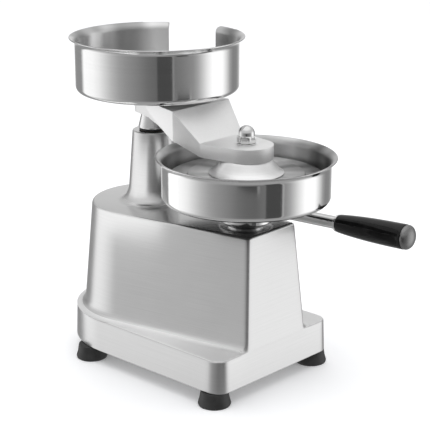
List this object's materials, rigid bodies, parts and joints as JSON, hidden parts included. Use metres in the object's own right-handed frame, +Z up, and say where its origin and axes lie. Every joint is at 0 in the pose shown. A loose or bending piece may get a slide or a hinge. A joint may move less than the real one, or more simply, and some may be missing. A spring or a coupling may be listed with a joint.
{
  "type": "patty press",
  "caption": "Countertop patty press: side lever lifts a swing-aside press arm and a patty ejector; round mould bowl and a round paper tray on top.",
  "frame": {"origin": "centre of the object's box at the surface its feet stand on", "axes": "+Z up, -Y towards the operator, +X towards the lever"},
  "size_m": [0.2312, 0.3824, 0.3746],
  "materials": {
    "cast_aluminium": "brushed casting",
    "satin_aluminium": "satin",
    "polished_steel": "mirror polished stainless steel",
    "machined_steel": "turned and bright",
    "dark_steel": "dark machined steel",
    "bronze": "sintered bronze",
    "black_rubber": "matt",
    "black_grip": "glossy"
  },
  "bodies": {
    "base": {"body_casting": "cast_aluminium", "bottom_cover": "machined_steel", "foot_front_left": "black_rubber", "foot_front_right": "black_rubber", "foot_rear_left": "black_rubber", "foot_rear_right": "black_rubber", "foot_screw_front_left": "dark_steel", "foot_screw_front_right": "dark_steel", "foot_screw_rear_left": "dark_steel", "foot_screw_rear_right": "dark_steel", "post_bush_upper": "bronze", "post_bush_lower": "bronze", "post_wiper_ring": "black_rubber", "lower_bowl": "polished_steel", "bowl_support": "polished_steel", "support_ring_nut": "dark_steel", "guide_bush": "bronze", "mould_ring": "polished_steel", "bowl_screw_1": "machined_steel", "bowl_screw_2": "machined_steel", "bowl_screw_3": "machined_steel", "shaft_bush_left": "bronze", "shaft_bush_right": "bronze", "ejector_spring": "machined_steel"},
    "lever": {"cross_shaft": "machined_steel", "crank_arm": "dark_steel", "crank_pin": "machined_steel", "crank_key": "machined_steel", "shaft_spacer": "machined_steel", "lever_hub": "satin_aluminium", "hub_set_screw": "dark_steel", "handle_rod": "machined_steel", "grip_ferrule": "polished_steel", "grip": "black_grip", "grip_end_cap": "satin_aluminium"},
    "lifting_block": {"crosshead": "dark_steel", "lift_yoke": "dark_steel", "yoke_screw_1": "machined_steel", "yoke_screw_2": "machined_steel"},
    "press_head": {"spindle": "machined_steel", "spindle_washer": "machined_steel", "spindle_lock_nut": "dark_steel", "spindle_collar": "satin_aluminium", "press_arm": "satin_aluminium", "arm_washer": "machined_steel", "arm_screw": "machined_steel", "press_hub": "satin_aluminium", "press_plate": "polished_steel", "press_stud": "machined_steel", "press_washer": "machined_steel", "dome_nut": "polished_steel", "paper_tray": "polished_steel", "tray_screw_1": "machined_steel", "tray_screw_2": "machined_steel", "tray_screw_3": "machined_steel"},
    "ejector": {"ejector_plate": "polished_steel", "ejector_rod": "machined_steel", "ejector_screw": "machined_steel", "rod_collar": "dark_steel"}
  },
  "joints": [
    {"name": "lever_swing", "type": "hinge", "parent": "base", "child": "lever", "pos_m": [0.10125, 0.1308, 0.1541], "axis": [-1, 0, 0], "range_deg": [0, 41]},
    {"name": "head_lift", "type": "slide", "parent": "base", "child": "lifting_block", "axis": [0, 0, 1], "range_m": [0, 0.02381]},
    {"name": "ejector_lift", "type": "slide", "parent": "base", "child": "ejector", "axis": [0, 0, 1], "range_m": [0, 0.0175], "deforming": ["ejector_spring"]},
    {"name": "arm_swing", "type": "hinge", "parent": "lifting_block", "child": "press_head", "pos_m": [-0.01475, 0.0966, 0.2873], "axis": [0, 0, 1], "range_deg": [-10, 10]}
  ],
  "couplings": [
    {"joint": "head_lift", "follows": "lever_swing", "m_per_rad": 0.03326},
    {"joint": "ejector_lift", "follows": "lever_swing", "m_per_rad": 0.02445}
  ]
}
